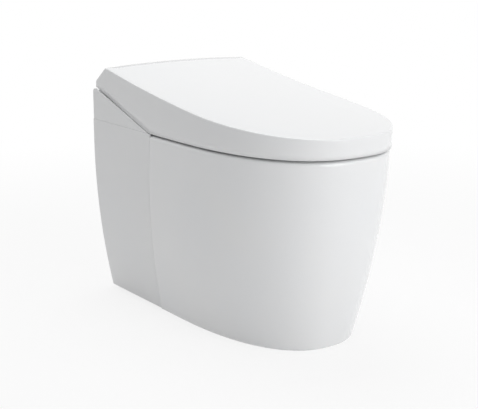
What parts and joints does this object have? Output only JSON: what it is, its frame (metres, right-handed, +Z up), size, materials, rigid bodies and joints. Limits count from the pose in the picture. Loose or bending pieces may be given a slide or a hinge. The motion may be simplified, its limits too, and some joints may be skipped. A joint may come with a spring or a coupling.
{
  "type": "smart toilet with heated seat",
  "caption": "One-piece electronic toilet with a skirted ceramic bowl, a motor-driven lid, a heated seat, a washing wand and a warm-air dryer.",
  "frame": {"origin": "on the floor, at the middle of the object's bounding box", "axes": "+Z up, +Y towards the wall behind the toilet, -Y its rounded front, +X its left side seen from the user sitting on it facing -Y"},
  "size_m": [0.3982, 0.695, 0.5359],
  "materials": {
    "white_ceramic": "gloss glaze",
    "white_plastic": "gloss moulding",
    "inner_plastic": "satin moulding",
    "grey_plastic": "satin moulding",
    "dark_plastic": "smoked window",
    "soft_rubber": "matt",
    "seal_rubber": "matt",
    "steel": "brushed",
    "brass": "turned",
    "foil": "foil",
    "board": "circuit board"
  },
  "bodies": {
    "body": {"ceramic_skirt": "white_ceramic", "ceramic_rim": "white_ceramic", "ceramic_bowl": "white_ceramic", "trapway": "white_ceramic", "trap_outlet": "white_ceramic", "drain_seal": "seal_rubber", "side_panel_right": "white_plastic", "side_panel_left": "white_plastic", "panel_clips": "steel", "rear_panel": "white_plastic", "case_top": "white_plastic", "case_base": "white_plastic", "case_screws": "steel", "cheek_right": "white_plastic", "cheek_left": "white_plastic", "nozzle_guide": "grey_plastic", "nozzle_motor": "steel", "nozzle_guard": "inner_plastic", "dryer_duct": "inner_plastic", "dryer_heater": "foil", "dryer_housing": "grey_plastic", "deodoriser_housing": "grey_plastic", "deodoriser_cartridge": "inner_plastic", "heat_exchanger": "grey_plastic", "control_board": "board", "board_cover": "grey_plastic", "lid_drive_unit": "grey_plastic", "lid_shaft_bearing": "grey_plastic", "seat_drive_unit": "grey_plastic", "seat_bearing": "grey_plastic", "sensor_window": "dark_plastic", "status_lamp": "inner_plastic", "flush_tank": "inner_plastic", "tank_stand": "steel", "pump_housing": "grey_plastic", "jet_pipe": "inner_plastic", "inlet_valve": "brass", "water_inlet": "brass", "power_gland": "grey_plastic", "vacuum_breaker": "inner_plastic"},
    "lid_drive": {"lid_drive_shaft": "steel"},
    "lid": {"lid_shell": "white_plastic", "lid_liner": "white_plastic", "lid_arm_right": "inner_plastic", "lid_arm_left": "inner_plastic", "lid_buffers": "soft_rubber"},
    "seat": {"seat_top": "white_plastic", "seat_heater": "foil", "seat_base": "white_plastic", "seat_pins": "steel", "seat_buffers": "soft_rubber"},
    "wand_outer": {"wand_outer": "steel"},
    "wand_inner": {"wand_inner": "inner_plastic", "wand_tip": "inner_plastic"},
    "dryer_flap": {"dryer_flap": "inner_plastic"},
    "dryer_impeller": {"dryer_impeller": "grey_plastic"},
    "deodoriser_impeller": {"deodoriser_impeller": "grey_plastic"},
    "pump_impeller": {"pump_impeller": "grey_plastic"},
    "seat_switch": {"seat_switch": "inner_plastic"}
  },
  "joints": [
    {"name": "seat_hinge", "type": "hinge", "parent": "body", "child": "seat", "pos_m": [0, 0.15, 0.44], "axis": [-1, 0, 0], "range_deg": [0, 95]},
    {"name": "lid_carry", "type": "hinge", "parent": "body", "child": "lid_drive", "pos_m": [0, 0.29, 0.4685], "axis": [-1, 0, 0], "range_deg": [0, 95]},
    {"name": "lid_hinge", "type": "hinge", "parent": "lid_drive", "child": "lid", "pos_m": [0, 0.29, 0.4685], "axis": [1, 0, 0], "range_deg": [-96, 0]},
    {"name": "wand_slide", "type": "slide", "parent": "body", "child": "wand_outer", "axis": [0, -0.866, -0.5], "range_m": [0, 0.058]},
    {"name": "wand_inner_slide", "type": "slide", "parent": "wand_outer", "child": "wand_inner", "axis": [0, -0.866, -0.5], "range_m": [0, 0.058]},
    {"name": "dryer_flap_hinge", "type": "hinge", "parent": "body", "child": "dryer_flap", "pos_m": [0.032, 0.063, 0.4025], "axis": [-1, 0, 0], "range_deg": [0, 65]},
    {"name": "dryer_fan_spin", "type": "hinge", "parent": "body", "child": "dryer_impeller", "pos_m": [0.052, 0.222, 0.395], "axis": [0, 0, 1], "continuous": true},
    {"name": "deodoriser_fan_spin", "type": "hinge", "parent": "body", "child": "deodoriser_impeller", "pos_m": [-0.097, 0.15, 0.395], "axis": [0, 0, 1], "continuous": true},
    {"name": "pump_spin", "type": "hinge", "parent": "body", "child": "pump_impeller", "pos_m": [0.06, 0.236, 0.045], "axis": [0, 0, 1], "continuous": true},
    {"name": "seat_switch_press", "type": "slide", "parent": "body", "child": "seat_switch", "axis": [0, 0, -1], "range_m": [0, 0.0025], "stiffness_N_per_m": 150}
  ],
  "couplings": [
    {"joint": "lid_carry", "follows": "seat_hinge", "ratio": 1},
    {"joint": "wand_inner_slide", "follows": "wand_slide", "ratio": 1}
  ]
}
